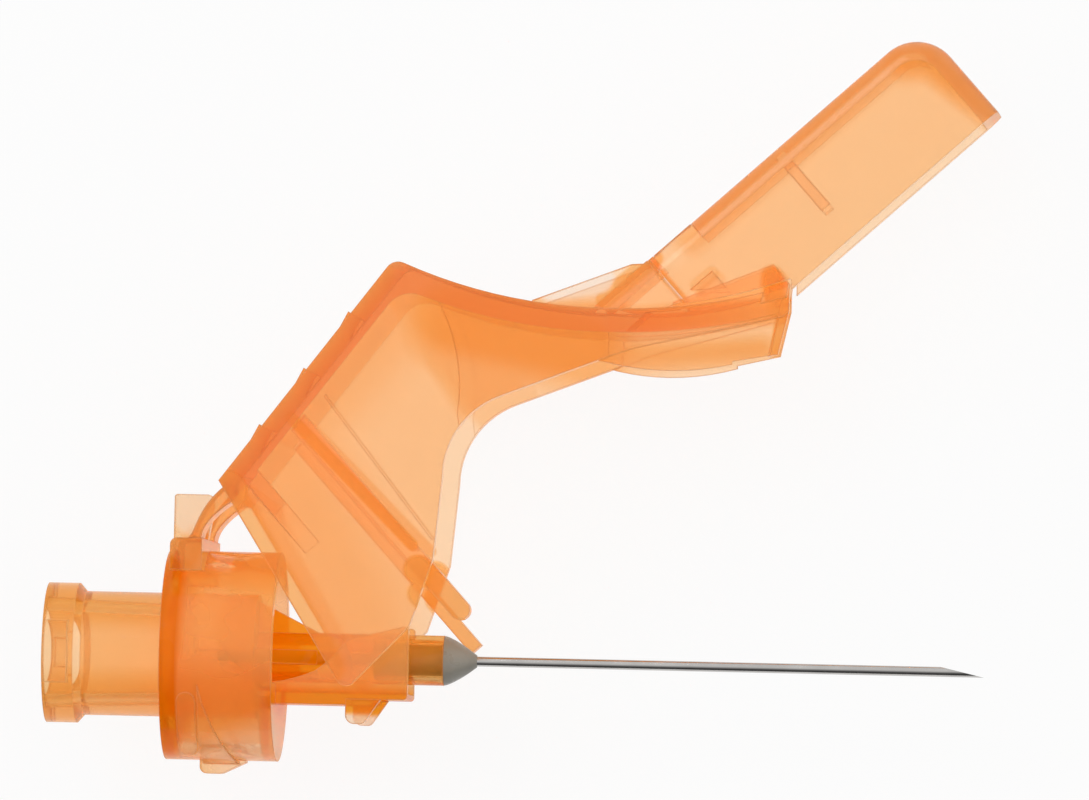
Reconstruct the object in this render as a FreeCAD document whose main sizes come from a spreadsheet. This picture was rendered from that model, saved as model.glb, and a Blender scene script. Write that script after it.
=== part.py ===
"""Hypodermic needle with a hinged safety shield, in millimetres.

The part lies on its side. +X runs along the needle to its tip, +Y is the side that the shield opens to,
and +Z is up. The origin is the centre of the luer socket's mouth.
"""

import FreeCAD, Part
import math
import os
import re

import Sketcher

App = FreeCAD

# Driving dimensions: name, value and what it measures
SIZES = [
    # Hub
    ("flange_radius", 3.5, "luer flange"),
    ("flange_length", 1.55, "luer flange"),
    ("flange_chamfer", 0.35, "slope from the flange down to the barrel"),
    ("lug_span", 7.8, "across the two luer lock lugs"),
    ("lug_width", 3.1, "each lug"),
    ("lug_length", 1.2, "each lug along the needle"),
    ("lug_setback", 0.1, "from the flange's face to the lugs"),
    ("barrel_radius", 3.1, "hub barrel"),
    ("shoulder_x", 10.6, "front end of the barrel"),
    ("nose_radius", 1.25, "hub nose"),
    ("nose_end_x", 19.9, "front end of the nose"),
    ("socket_radius", 2.135, "luer socket at its mouth"),
    ("socket_depth", 7.5, "luer socket"),
    ("socket_taper", 0.03, "radius lost for each millimetre of depth, six per cent on the diameter"),
    ("fin_radius", 2.75, "gussets at the shoulder"),
    ("fin_end_x", 13.6, "where the gussets run out on the nose"),
    ("fin_thickness", 0.7, "each gusset"),
    ("well_radius", 0.8, "adhesive well in the nose"),
    ("well_depth", 3.5, "adhesive well in the nose"),
    # Needle
    ("cannula_radius", 0.25, "outside of the tube"),
    ("lumen_radius", 0.13, "inside of the tube"),
    ("cannula_rear_x", 8.6, "rear end of the tube, in the hub"),
    ("cannula_tip_x", 46.9, "tip of the tube"),
    ("bevel_length", 2.2, "ground bevel"),
    ("bond_gap", 0.01, "between the tube, the adhesive and the hub"),
    ("bead_length", 1.65, "adhesive cone in front of the nose"),
    ("bead_tip_radius", 0.32, "adhesive cone at its front"),
    # Collar
    ("collar_rear_x", 6.05, "rear face of the collar"),
    ("collar_front_x", 11.65, "open front of the collar"),
    ("collar_radius", 5.225, "outside of the cup"),
    ("collar_wall", 0.8, "cup wall"),
    ("collar_base", 0.7, "rear wall of the cup"),
    ("seat_gap", 0.03, "between the collar and the hub's barrel"),
    ("ledge_rear_x", 6.45, "rear of the hinge ledge"),
    ("ledge_front_x", 8.05, "front of the hinge ledge"),
    ("ledge_top_y", 5.75, "top of the hinge ledge"),
    ("ledge_thickness", 1.6, "hinge ledge"),
    ("ledge_radius", 0.35, "upper rear edge of the hinge ledge"),
    ("ledge_half_width", 4.9, "hinge ledge"),
    ("fin_top_y", 8.05, "top of the stop fin between the straps"),
    ("stop_fin_front_x", 8.2, "front of the stop fin"),
    ("stop_fin_rear_x", 6.2, "rear of the stop fin"),
    ("stop_fin_thickness", 0.8, "stop fin"),
    ("stop_fin_lean", 0.3, "how far the stop fin's front leans out"),
    ("stop_fin_nose", 0.6, "upright front of the stop fin"),
    ("stop_fin_radius", 0.15, "upper rear corner of the stop fin"),
    ("cradle_half_width", 2.35, "outside of the cradle"),
    ("cradle_wall", 0.6, "cradle walls"),
    ("cradle_floor_y", -2.35, "underside of the cradle"),
    ("cradle_step_x", 16.4, "where the cradle's underside steps up"),
    ("cradle_step_y", -2.05, "underside of the cradle in front of the step"),
    ("cradle_step_run", 0.25, "slope of the cradle's step"),
    ("cradle_radius", 0.2, "front corners of the cradle"),
    ("cradle_high_curve", 6, "rim of the cradle, upper curve"),
    ("cradle_low_curve", 8, "rim of the cradle, lower curve"),
    ("cradle_front_x", 18.25, "front of the cradle"),
    ("cradle_rim_low_y", -1.35, "rim of the cradle at the cup"),
    ("cradle_rim_high_y", 1.66, "rim of the cradle at its front"),
    ("nub_rear_x", 15.2, "retainer nub"),
    ("nub_front_x", 16.95, "retainer nub"),
    ("nub_low_y", -3.3, "retainer nub"),
    ("nub_half_width", 2.7, "outer faces of the two retainer nubs from the middle plane"),
    ("nub_wall", 0.5, "each retainer nub"),
    ("nub_flat", 0.9, "foot of the retainer nubs"),
    ("nub_rear_radius", 0.45, "retainer nubs at the rear"),
    ("nub_front_radius", 0.3, "retainer nubs at the front"),
    ("boss_x", 7.4, "middle of the obround bosses on the cup"),
    ("boss_width", 0.95, "obround bosses"),
    ("boss_low_y", -5.05, "obround bosses"),
    ("boss_high_y", -1.95, "obround bosses"),
    ("relief", 0.2, "how far bosses and keel stand out of the cup"),
    ("keel_rear_x", 7.8, "keel tab"),
    ("keel_front_x", 10.1, "keel tab"),
    ("keel_low_y", -5.9, "keel tab"),
    ("keel_thickness", 1.2, "keel tab"),
    ("keel_flat", 1.1, "foot of the keel tab"),
    ("keel_rear_radius", 0.35, "keel tab at the rear"),
    ("keel_front_radius", 0.6, "keel tab at the front"),
    ("gusset_rise", 0.4, "top of the raised fillet above the bosses' tops"),
    ("gusset_reach", 0.4, "raised fillet past the keel tab"),
    ("gusset_curve", 9, "raised fillet"),
    # Hinge between collar and shield
    ("hinge_x", 8.05, "axis of the shield's hinge"),
    ("hinge_y", 6.95, "axis of the shield's hinge"),
    ("strap_front_x", 7.97, "front face of the straps above the ledge"),
    ("strap_thickness", 0.38, "living hinge straps where they are thinnest"),
    ("strap_flare", 0.35, "extra thickness of the straps at the ledge"),
    ("strap_flare_curve", 0.8, "rear face of the straps at the ledge"),
    ("strap_thin_y", 6.3, "end of the flare"),
    ("strap_low_bend_y", 6.45, "bend of the straps' front face"),
    ("strap_high_bend_y", 7.3, "bend of the straps' rear face"),
    ("strap_bend_radius", 0.55, "both bends of the straps"),
    ("strap_end_thickness", 0.85, "straps at the pad"),
    ("strap_width", 2.2, "living hinge straps"),
    ("strap_offset", 3.5, "middle of a strap from the middle plane"),
    # Proximal segment
    ("shield_width", 12.2, "outside of the side plates"),
    ("plate_wall", 0.75, "side plates"),
    ("web_thickness", 1.15, "web of the proximal segment"),
    ("pad_rear_x", 8.9, "rear end of the thumb pad"),
    ("pad_rear_y", 8.59, "rear end of the thumb pad"),
    ("pad_angle", 52.9, "slope of the thumb pad"),
    ("pad_corner_radius", 0.7, "corner between pad and saddle"),
    ("pad_inner_radius", 1.4, "the same corner inside the web"),
    ("pad_length", 14.1, "thumb pad"),
    ("saddle_low_x", 27.95, "lowest point of the saddle"),
    ("saddle_low_y", 17.55, "lowest point of the saddle"),
    ("saddle_radius", 26.0, "saddle"),
    ("heel_x", 15.37, "lowest corner of the side plates"),
    ("heel_y", -1.78, "lowest corner of the side plates"),
    ("heel_radius", 0.5, "lowest corner of the side plates"),
    ("flank_low_x", 18.55, "front edge of the plates"),
    ("flank_low_y", 1.54, "front edge of the plates"),
    ("flank_mid_x", 19.65, "front edge of the plates"),
    ("flank_mid_y", 4.88, "front edge of the plates"),
    ("arch_start_x", 20.02, "start of the arch under the saddle"),
    ("arch_start_y", 9.0, "start of the arch under the saddle"),
    ("arch_end_x", 22.81, "end of the arch"),
    ("arch_end_y", 13.08, "end of the arch"),
    ("arch_radius", 4.3, "arch"),
    ("belly_x", 29.4, "lower edge of the plates before the beak"),
    ("belly_y", 15.63, "lower edge of the plates before the beak"),
    ("beak_front_x", 36.8, "front of the beak"),
    ("beak_crease_y", 17.5, "crease along the beak at its front"),
    ("beak_lip", 0.3, "slope between the crease and the beak's front"),
    ("beak_wall", 0.5, "front wall of the beak"),
    ("beak_rake", 0.5, "how far the beak's front leans back at the skirt"),
    ("taper_start_x", 28.0, "where the beak begins to narrow"),
    ("beak_half_width", 1.4, "beak at its front"),
    ("skirt_inset", 0.3, "step from the plates in to the skirt"),
    ("skirt_rear_x", 27.4, "rear end of the skirt"),
    ("skirt_rear_y", 15.0, "rear end of the skirt"),
    ("skirt_low_x", 34.1, "lowest stretch of the skirt"),
    ("skirt_low_y", 15.0, "lowest stretch of the skirt"),
    ("skirt_radius", 13.0, "lower edge of the skirt"),
    ("skirt_front_y", 15.6, "skirt at the beak's front"),
    ("skirt_step", 0.15, "step in the skirt's lower edge"),
    ("ridge_first", 3.42, "first thumb ridge from the pad's rear end"),
    ("ridge_pitch", 3.57, "thumb ridges"),
    ("ridge_length", 1.3, "each ridge"),
    ("ridge_height", 0.22, "each ridge"),
    ("ridge_margin", 0.8, "from the ridges' ends to the plates' outsides"),
    ("arm_near_inner", 6.02, "near latch arm from the hinge axis"),
    ("arm_near_width", 1.0, "near latch arm"),
    ("arm_near_end", 12.46, "near latch arm, end"),
    ("arm_far_inner", 5.22, "far latch arm from the hinge axis"),
    ("arm_far_width", 0.68, "far latch arm"),
    ("arm_far_end", 13.53, "far latch arm, end"),
    ("arm_root", -1.1, "latch arms, root inside the web"),
    ("arm_offset", 2.9, "inner faces of the latch arms from the middle plane"),
    ("arm_depth", 1.3, "latch arms across the shield"),
    ("zone_depth", 0.3, "extra thickness of the plates under the saddle"),
    ("zone_top_x", 17.63, "rear edge of the thicker zone at the saddle"),
    ("zone_low_x", 20.66, "rear edge of the thicker zone at the arch"),
    ("zone_low_y", 12.21, "rear edge of the thicker zone at the arch"),
    ("zone_curve", 9, "rear edge of the thicker zone"),
    ("rib_inner", 2.6, "short rib from the hinge axis"),
    ("rib_width", 0.88, "short rib"),
    ("rib_root", -0.6, "short rib, root inside the web"),
    ("rib_end", 4.9, "short rib, end"),
    ("rib_depth", 2.2, "short rib out of the plate at its root"),
    ("rib_end_depth", 0.12, "short rib out of the plate at its end"),
    ("crease_start", -0.4, "fine rib beyond the arms, root inside the web"),
    ("crease_length", 8.9, "fine rib beyond the arms"),
    ("crease_inner", 8.4, "fine rib from the hinge axis at its root"),
    ("crease_lean", 0.6, "how far the fine rib leans towards the arms at its end"),
    ("crease_width", 0.12, "fine rib"),
    ("crease_depth", 0.2, "fine rib out of the plate"),
    # Hinge between the segments, and the distal segment
    ("distal_x", 29.49, "where the distal web's line starts"),
    ("distal_y", 19.86, "where the distal web's line starts"),
    ("distal_angle", 42.2, "slope of the distal segment"),
    ("distal_width", 6.4, "outside of the distal plates"),
    ("distal_wall", 0.7, "distal plates"),
    ("distal_web", 0.95, "distal web and end wall"),
    ("distal_edge_radius", 1.1, "long outer edges of the distal web"),
    ("distal_depth", 5.84, "distal plates"),
    ("distal_end", 18.4, "front end of the distal segment"),
    ("distal_corner_radius", 2.2, "corner of web and end wall"),
    ("distal_web_start", 3.2, "rear end of the distal web"),
    ("ramp_root", -3.4, "ramp, root inside the saddle"),
    ("ramp_end", 0.7, "front end of the ramp on the proximal segment"),
    ("ear_front", 0.34, "front end of the ears"),
    ("ear_gap", 0.1, "between the ears and the distal plates"),
    ("hinge_strip_thickness", 0.25, "planar hinge"),
    ("hinge_strip_gap", 0.1, "between the planar hinge and the plates beside it"),
    ("ramp_thickness", 0.8, "ramp"),
    ("seat_on_saddle", 0.16, "between the distal plates and the saddle"),
    ("slot_width", 1.6, "slot for the needle"),
    ("slot_depth_start", 1.5, "slot for the needle, below the distal web's line"),
    ("ear_wall", 0.7, "ears beside the ramp"),
    ("ear_root", -5.6, "rear end of the ears"),
    ("ear_toe", -2.4, "lower edge of the ears inside the saddle"),
    ("ear_low", 1.7, "lower edge of the ears at their rear end, above the web's line"),
    ("ear_high", 2.25, "upper edge of the ears at their rear end, above the web's line"),
    ("ear_front_depth", 2.75, "front edge of the ears, below the web's line"),
    ("latch_fin_wall", 0.65, "latch fins on the saddle"),
    ("latch_fin_x", 31.0, "rear end of the latch fins"),
    ("latch_fin_rise", 0.55, "latch fins at their rear end above the saddle's lowest point"),
    ("latch_sink", 0.1, "latch fins inside the saddle"),
    ("latch_front_rise", 0.9, "latch at the beak's front, lower corner"),
    ("latch_nose_rise", 1.55, "latch at the beak's front, upper corner"),
    ("latch_top_rise", 2.55, "top of the latch"),
    ("latch_top_setback", 0.8, "top of the latch behind the beak's front"),
    ("latch_tab_length", 1.4, "latch tabs"),
    ("latch_half_width", 2.3, "latch tab at the beak's front"),
    ("wedge_start", 1.03, "small wedges on the distal plates"),
    ("wedge_length", 1.4, "small wedges on the distal plates"),
    ("wedge_top", 2.5, "small wedges, down from the web's line"),
    ("wedge_drop", 1.1, "small wedges"),
    ("wedge_depth", 0.6, "small wedges out of the distal plates"),
    ("hook_place", 8.8, "needle hooks along the distal segment"),
    ("hook_length", 0.5, "needle hooks along the distal segment"),
    ("hook_reach", 3.8, "needle hooks, down from the web"),
    ("hook_depth", 1.2, "needle hooks out of the plates"),
    # Construction
    ("sink", 0.1, "how far a feature reaches into the wall that carries it"),
    ("straight", 0.01, "least straight between two roundings"),
    ("beyond", 1, "how far a cut reaches past the solid"),
    ("open_end", 3, "how far the shield's hollow runs out at the pad's rear end"),
    ("blank_rise", 1.3, "shield's blank before the saddle is cut, as a share of the pad's length"),
    ("zone_overlap", 2.6, "thicker zone's blank above the saddle's lowest point"),
]

# How near two places lie that count as one when edges are picked
SAME_PLACE = 0.001

doc = App.newDocument("SafetyNeedle")
sheet = doc.addObject("Spreadsheet::Sheet", "Sizes")
for row, (alias, size, note) in enumerate(SIZES, start=1):
    sheet.set(f"A{row}", note)
    sheet.set(f"B{row}", str(size))
    sheet.setAlias(f"B{row}", alias)
doc.recompute()

ALIASES = {alias for alias, size, note in SIZES}


def bound(text):
    """The expression for text, with each named size read from the sheet."""
    return re.sub(r"[a-z]\w*", lambda word: f"Sizes.{word[0]}" if word[0] in ALIASES else word[0], str(text))


def value(text):
    """What the expression is worth now."""
    return float(sheet.evalExpression(str(text)))


def plane_of(body, role):
    return next(item for item in body.Origin.OriginFeatures if item.Role == role)


def add_side(sketch, start, end, radius):
    """A straight side, or an arc whose centre is to the left of the way if radius is positive."""
    if not radius:
        number = sketch.addGeometry(Part.LineSegment(start, end), False)
        return number, 1, 2
    chord = end - start
    half = chord.Length / 2
    left = App.Vector(-chord.y, chord.x, 0).normalize()
    away = math.sqrt(radius**2 - half**2)
    centre = start + chord * 0.5 + left * (away if radius > 0 else -away)
    first, last = (start, end) if radius > 0 else (end, start)
    angles = [math.atan2(point.y - centre.y, point.x - centre.x) for point in (first, last)]
    if angles[1] < angles[0]:
        angles[1] += 2 * math.pi
    circle = Part.Circle(centre, App.Vector(0, 0, 1), abs(radius))
    number = sketch.addGeometry(Part.ArcOfCircle(circle, *angles), False)
    return (number, 1, 2) if radius > 0 else (number, 2, 1)


def draw(sketch, corners):
    """Draws a closed outline. A corner is (x, y), (x, y, "round", radius) for a rounded one, or
    (x, y, "arc", radius) where the side that arrives there is an arc."""
    count = len(corners)
    points = [App.Vector(value(corner[0]), value(corner[1]), 0) for corner in corners]
    starts, ends, rounds = list(points), list(points), {}
    for i, corner in enumerate(corners):
        if corner[2:3] != ("round",):
            continue
        radius = value(corner[3])
        back = (points[i - 1] - points[i]).normalize()
        on = (points[(i + 1) % count] - points[i]).normalize()
        reach = radius / math.tan(back.getAngle(on) / 2)
        ends[i], starts[i] = points[i] + back * reach, points[i] + on * reach
        rounds[i] = radius if back.cross(on).z < 0 else -radius
    sides = []
    for i in range(count):
        arrives = corners[(i + 1) % count]
        radius = value(arrives[3]) if arrives[2:3] == ("arc",) else 0
        sides.append(add_side(sketch, starts[i], ends[(i + 1) % count], radius))
        if radius:
            place = sketch.addConstraint(Sketcher.Constraint("Radius", sides[-1][0], abs(radius)))
            sketch.setExpression(f"Constraints[{place}]", f"abs({bound(arrives[3])})")
    for i, corner in enumerate(corners):
        before, after = sides[i - 1], sides[i]
        if i not in rounds:
            sketch.addConstraint(Sketcher.Constraint("Coincident", before[0], before[2], after[0], after[1]))
            pin = (after[0], after[1])
        else:
            arc = add_side(sketch, ends[i], starts[i], rounds[i])
            sketch.addConstraint(Sketcher.Constraint("Tangent", before[0], before[2], arc[0], arc[1]))
            sketch.addConstraint(Sketcher.Constraint("Tangent", arc[0], arc[2], after[0], after[1]))
            place = sketch.addConstraint(Sketcher.Constraint("Radius", arc[0], abs(rounds[i])))
            sketch.setExpression(f"Constraints[{place}]", bound(corner[3]))
            point = sketch.addGeometry(Part.Point(points[i]), True)
            sketch.addConstraint(Sketcher.Constraint("PointOnObject", point, 1, before[0]))
            sketch.addConstraint(Sketcher.Constraint("PointOnObject", point, 1, after[0]))
            pin = (point, 1)
        for kind, text, size in (("DistanceX", corner[0], points[i].x), ("DistanceY", corner[1], points[i].y)):
            place = sketch.addConstraint(Sketcher.Constraint(kind, -1, 1, *pin, size))
            sketch.setExpression(f"Constraints[{place}]", bound(text))


def sketched(body, role, corners, offset=None):
    """A sketch on one of the body's own planes, moved along its normal by offset."""
    sketch = body.newObject("Sketcher::SketchObject", body.Name + "_outline")
    sketch.AttachmentSupport = (plane_of(body, role), [""])
    sketch.MapMode = "FlatFace"
    if offset is not None:
        sketch.setExpression("AttachmentOffset.Base.z", bound(offset))
    draw(sketch, corners)
    return sketch


def padded(name, corners, depth, role="XY_Plane", offset=None, place=None):
    """A body made by one pad, both ways from the plane, or one way where offset is given."""
    body = doc.addObject("PartDesign::Body", name)
    pad = body.newObject("PartDesign::Pad", name + "_pad")
    pad.Profile = sketched(body, role, corners, offset)
    pad.setExpression("Length", bound(depth))
    pad.Midplane = offset is None
    if place:
        put(body, *place)
    return body


def put(item, x, y, angle):
    """Places an object in the middle plane, turned about Z by angle."""
    item.Placement = App.Placement(App.Vector(), App.Rotation(App.Vector(0, 0, 1), 1))
    for path, text in (("Base.x", x), ("Base.y", y), ("Rotation.Angle", angle)):
        item.setExpression("Placement." + path, bound(text))


def turned(name, corners, hollow=None):
    """A body revolved about the needle's axis, and hollowed by a second outline."""
    body = doc.addObject("PartDesign::Body", name)
    for kind, outline in (("Revolution", corners), ("Groove", hollow)):
        if outline is None:
            continue
        sketch = sketched(body, "XY_Plane", outline)
        feature = body.newObject("PartDesign::" + kind, f"{name}_{kind.lower()}")
        feature.Profile = sketch
        feature.ReferenceAxis = (sketch, ["H_Axis"])
        feature.Angle = 360
    return body


def joined(name, parts):
    fuse = doc.addObject("Part::MultiFuse", name)
    fuse.Shapes = parts
    return fuse


def taken(name, base, tool):
    cut = doc.addObject("Part::Cut", name)
    cut.Base, cut.Tool = base, tool
    return cut


def shared(name, parts):
    common = doc.addObject("Part::MultiCommon", name)
    common.Shapes = parts
    return common


def box(name, low, high):
    """A Part box between two corners given as expressions."""
    item = doc.addObject("Part::Box", name)
    for path, side, start, end in zip("xyz", ("Length", "Width", "Height"), low, high):
        item.setExpression("Placement.Base." + path, bound(start))
        item.setExpression(side, bound(f"({end}) - ({start})"))
    return item


def both_sides(name, corners, inner, depth, place=None):
    """The same pad on each side of the middle plane, from inner outwards."""
    near = padded(name + "_near", corners, depth, offset=inner, place=place)
    far = padded(name + "_far", corners, depth, offset=f"-({inner}) - ({depth})", place=place)
    return [near, far]


def luer_hub():
    """Female luer hub: flange, barrel and nose turned, lugs and gussets added, then the bore."""
    solid = turned("hub_turned", [
        ("0", "0"), ("0", "flange_radius"), ("flange_length", "flange_radius"),
        ("flange_length + flange_chamfer", "barrel_radius"), ("shoulder_x", "barrel_radius"),
        ("shoulder_x", "nose_radius"), ("nose_end_x", "nose_radius"), ("nose_end_x", "0"),
    ])
    lugs = padded("hub_lugs", [
        ("lug_setback", "-lug_width / 2"), ("lug_setback + lug_length", "-lug_width / 2"),
        ("lug_setback + lug_length", "lug_width / 2"), ("lug_setback", "lug_width / 2"),
    ], "lug_span")
    fin = [("shoulder_x - sink", "nose_radius / 2"), ("fin_end_x", "nose_radius / 2"),
           ("fin_end_x", "nose_radius"), ("shoulder_x", "fin_radius"), ("shoulder_x - sink", "fin_radius")]
    fins = [padded("hub_fin_top", fin, "fin_thickness"),
            padded("hub_fin_near", fin, "fin_thickness", role="XZ_Plane"),
            padded("hub_fin_far", [(x, f"-({z})") for x, z in fin], "fin_thickness", role="XZ_Plane")]
    bore = turned("hub_bore", [
        ("-beyond", "0"), ("-beyond", "socket_radius + socket_taper * beyond"),
        ("socket_depth", "socket_radius - socket_taper * socket_depth"),
        ("socket_depth", "cannula_radius + bond_gap"),
        ("nose_end_x - well_depth", "cannula_radius + bond_gap"),
        ("nose_end_x - well_depth", "well_radius"), ("nose_end_x + beyond", "well_radius"),
        ("nose_end_x + beyond", "0"),
    ])
    return taken("luer_hub", joined("hub_solid", [solid, lugs] + fins), bore)


def cannula():
    """Steel tube with its bevel ground so that the point is on the -Y side."""
    body = doc.addObject("PartDesign::Body", "cannula")
    sketch = sketched(body, "XY_Plane", [
        ("cannula_rear_x", "lumen_radius"), ("cannula_tip_x", "lumen_radius"),
        ("cannula_tip_x", "cannula_radius"), ("cannula_rear_x", "cannula_radius"),
    ])
    tube = body.newObject("PartDesign::Revolution", "cannula_tube")
    tube.Profile = sketch
    tube.ReferenceAxis = (sketch, ["H_Axis"])
    tube.Angle = 360
    bevel = body.newObject("PartDesign::Pocket", "cannula_bevel")
    bevel.Profile = sketched(body, "XY_Plane", [
        ("cannula_tip_x", "-cannula_radius"), ("cannula_tip_x + beyond", "-cannula_radius"),
        ("cannula_tip_x + beyond", "cannula_radius + beyond"),
        ("cannula_tip_x - bevel_length - bevel_length / cannula_radius / 2 * beyond", "cannula_radius + beyond"),
    ])
    bevel.setExpression("Length", bound("cannula_radius * 4"))
    bevel.Midplane = True
    return body


def adhesive_bead():
    """Fills the well in the nose and stands in front of it as a cone."""
    return turned("adhesive_bead", [
        ("nose_end_x - well_depth + bond_gap", "cannula_radius + bond_gap"),
        ("nose_end_x - well_depth + bond_gap", "well_radius - bond_gap"),
        ("nose_end_x + bond_gap", "well_radius - bond_gap"),
        ("nose_end_x + bond_gap", "nose_radius"),
        ("nose_end_x + bead_length", "bead_tip_radius", "arc", "-bead_length * 2"),
        ("nose_end_x + bead_length", "cannula_radius + bond_gap"),
    ])


def hub_collar():
    """Cup round the hub, with the hinge ledge above it and the cradle in front."""
    cup = turned("collar_cup", [
        ("collar_rear_x", "barrel_radius + seat_gap"), ("collar_rear_x", "collar_radius"),
        ("collar_front_x", "collar_radius"), ("collar_front_x", "collar_radius - collar_wall"),
        ("collar_rear_x + collar_base", "collar_radius - collar_wall"),
        ("collar_rear_x + collar_base", "barrel_radius + seat_gap"),
    ])
    ledge = padded("collar_ledge", [
        ("ledge_rear_x", "ledge_top_y - ledge_thickness"), ("ledge_front_x", "ledge_top_y - ledge_thickness"),
        ("ledge_front_x", "ledge_top_y"), ("ledge_rear_x", "ledge_top_y", "round", "ledge_radius"),
    ], "ledge_half_width * 2")
    stop = padded("collar_stop_fin", [
        ("stop_fin_rear_x", "collar_radius - sink"), ("stop_fin_front_x - stop_fin_lean", "collar_radius - sink"),
        ("stop_fin_front_x - stop_fin_lean", "ledge_top_y - sink"),
        ("stop_fin_front_x", "fin_top_y - stop_fin_nose"), ("stop_fin_front_x", "fin_top_y", "round", "ledge_radius"),
        ("stop_fin_rear_x", "fin_top_y", "round", "stop_fin_radius"),
    ], "stop_fin_thickness")
    trough = padded("cradle_outside", [
        ("collar_front_x - collar_base", "cradle_floor_y"), ("cradle_step_x", "cradle_floor_y"),
        ("cradle_step_x + cradle_step_run", "cradle_step_y"),
        ("cradle_front_x", "cradle_step_y", "round", "cradle_radius"),
        ("cradle_front_x", "cradle_rim_high_y", "round", "cradle_radius"),
        ("nub_rear_x", "(cradle_rim_low_y + cradle_rim_high_y * 3) / 4"),
        ("fin_end_x", "cradle_rim_low_y / 2", "arc", "-cradle_high_curve"),
        ("collar_front_x - collar_base", "cradle_rim_low_y", "arc", "-cradle_low_curve"),
    ], "cradle_half_width * 2")
    web = padded("cradle_web", [
        ("cradle_rim_low_y", "-collar_radius"), ("cradle_rim_low_y", "collar_radius"),
        ("-collar_radius", "collar_radius"), ("-collar_radius", "-collar_radius"),
    ], "collar_base", role="YZ_Plane", offset="collar_front_x - collar_base")
    disc = turned("cradle_web_disc", [
        ("collar_rear_x", "0"), ("collar_rear_x", "collar_radius - collar_wall / 2"),
        ("collar_front_x", "collar_radius - collar_wall / 2"), ("collar_front_x", "0"),
    ])
    inside = padded("cradle_inside", [
        ("collar_rear_x", "cradle_floor_y + cradle_wall"),
        ("cradle_front_x + beyond", "cradle_floor_y + cradle_wall"),
        ("cradle_front_x + beyond", "collar_radius"), ("collar_rear_x", "collar_radius"),
    ], "(cradle_half_width - cradle_wall) * 2")
    front = taken("cradle_shell", joined("cradle_solid", [trough, shared("cradle_web_cut", [web, disc])]), inside)
    nubs = both_sides("cradle_nub", [
        ("nub_rear_x", "cradle_floor_y + cradle_wall / 2"),
        ("nub_rear_x", "nub_low_y", "round", "nub_rear_radius"),
        ("nub_rear_x + nub_flat", "nub_low_y", "round", "nub_front_radius"),
        ("nub_front_x", "cradle_step_y"), ("nub_front_x", "cradle_floor_y + cradle_wall / 2"),
    ], "nub_half_width - nub_wall", "nub_wall")
    keel = padded("collar_keel", [
        ("keel_rear_x", "-collar_radius + collar_wall / 2"),
        ("keel_rear_x", "keel_low_y", "round", "keel_rear_radius"),
        ("keel_rear_x + keel_flat", "keel_low_y", "round", "keel_front_radius"),
        ("keel_front_x", "-collar_radius - relief / 2"), ("keel_front_x", "-collar_radius + collar_wall / 2"),
    ], "keel_thickness")
    skin = turned("collar_relief_skin", [
        ("collar_rear_x", "collar_radius - collar_wall / 2"), ("collar_rear_x", "collar_radius + relief"),
        ("collar_front_x", "collar_radius + relief"), ("collar_front_x", "collar_radius - collar_wall / 2"),
    ])
    bosses = padded("collar_boss_outline", [
        ("boss_x - boss_width / 2", "boss_low_y", "round", "boss_width / 2 - straight"),
        ("boss_x + boss_width / 2", "boss_low_y", "round", "boss_width / 2 - straight"),
        ("boss_x + boss_width / 2", "boss_high_y", "round", "boss_width / 2 - straight"),
        ("boss_x - boss_width / 2", "boss_high_y", "round", "boss_width / 2 - straight"),
    ], "collar_radius * 3")
    gusset = padded("collar_gusset_outline", [
        ("boss_x + boss_width / 2 + relief / 2", "boss_high_y + gusset_rise"),
        ("keel_front_x + gusset_reach", "-collar_radius - beyond", "arc", "gusset_curve"),
        ("boss_x + boss_width / 2 + relief / 2", "-collar_radius - beyond"),
    ], "collar_radius * 3")
    relief = shared("collar_relief", [skin, joined("collar_relief_outline", [bosses, gusset])])
    collar = joined("collar_solid", [cup, ledge, stop, front, keel, relief] + nubs)
    seat = turned("collar_seat", [
        ("collar_rear_x - beyond", "0"), ("collar_rear_x - beyond", "barrel_radius + seat_gap"),
        ("shoulder_x + seat_gap", "barrel_radius + seat_gap"), ("shoulder_x + seat_gap", "0"),
    ])
    return taken("hub_collar", collar, seat)


REAR_FALL_X = "((heel_x - pad_rear_x) / sqrt((heel_x - pad_rear_x)^2 + (heel_y - pad_rear_y)^2))"
REAR_FALL_Y = "((heel_y - pad_rear_y) / sqrt((heel_x - pad_rear_x)^2 + (heel_y - pad_rear_y)^2))"


def on_rear_edge(distance):
    """The point of the plates' rear edge that lies this far below the pad's rear end."""
    return f"pad_rear_x + {REAR_FALL_X} * ({distance})", f"pad_rear_y + {REAR_FALL_Y} * ({distance})"


def straps():
    """The two living hinge straps, flush with the ledge and with the end of the pad's web."""
    rear = "strap_front_x - strap_thickness"
    return both_sides("strap", [
        (f"{rear} - strap_flare", "ledge_top_y", "arc", "-strap_flare_curve"),
        ("strap_front_x", "ledge_top_y"),
        ("strap_front_x", "strap_low_bend_y", "round", "strap_bend_radius"),
        on_rear_edge("web_thickness"), on_rear_edge("web_thickness - strap_end_thickness"),
        (rear, "strap_high_bend_y", "round", "strap_bend_radius"),
        (rear, "strap_thin_y"),
    ], "strap_offset - strap_width / 2", "strap_width")


def rounded(body, feature, picked, radius):
    """Rounds the edges of the feature that the test picks."""
    doc.recompute()
    edges = [f"Edge{number}" for number, edge in enumerate(feature.Shape.Edges, start=1) if picked(edge)]
    fillet = body.newObject("PartDesign::Fillet", body.Name + "_rounding")
    fillet.Base = (feature, edges)
    fillet.setExpression("Radius", bound(radius))


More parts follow.
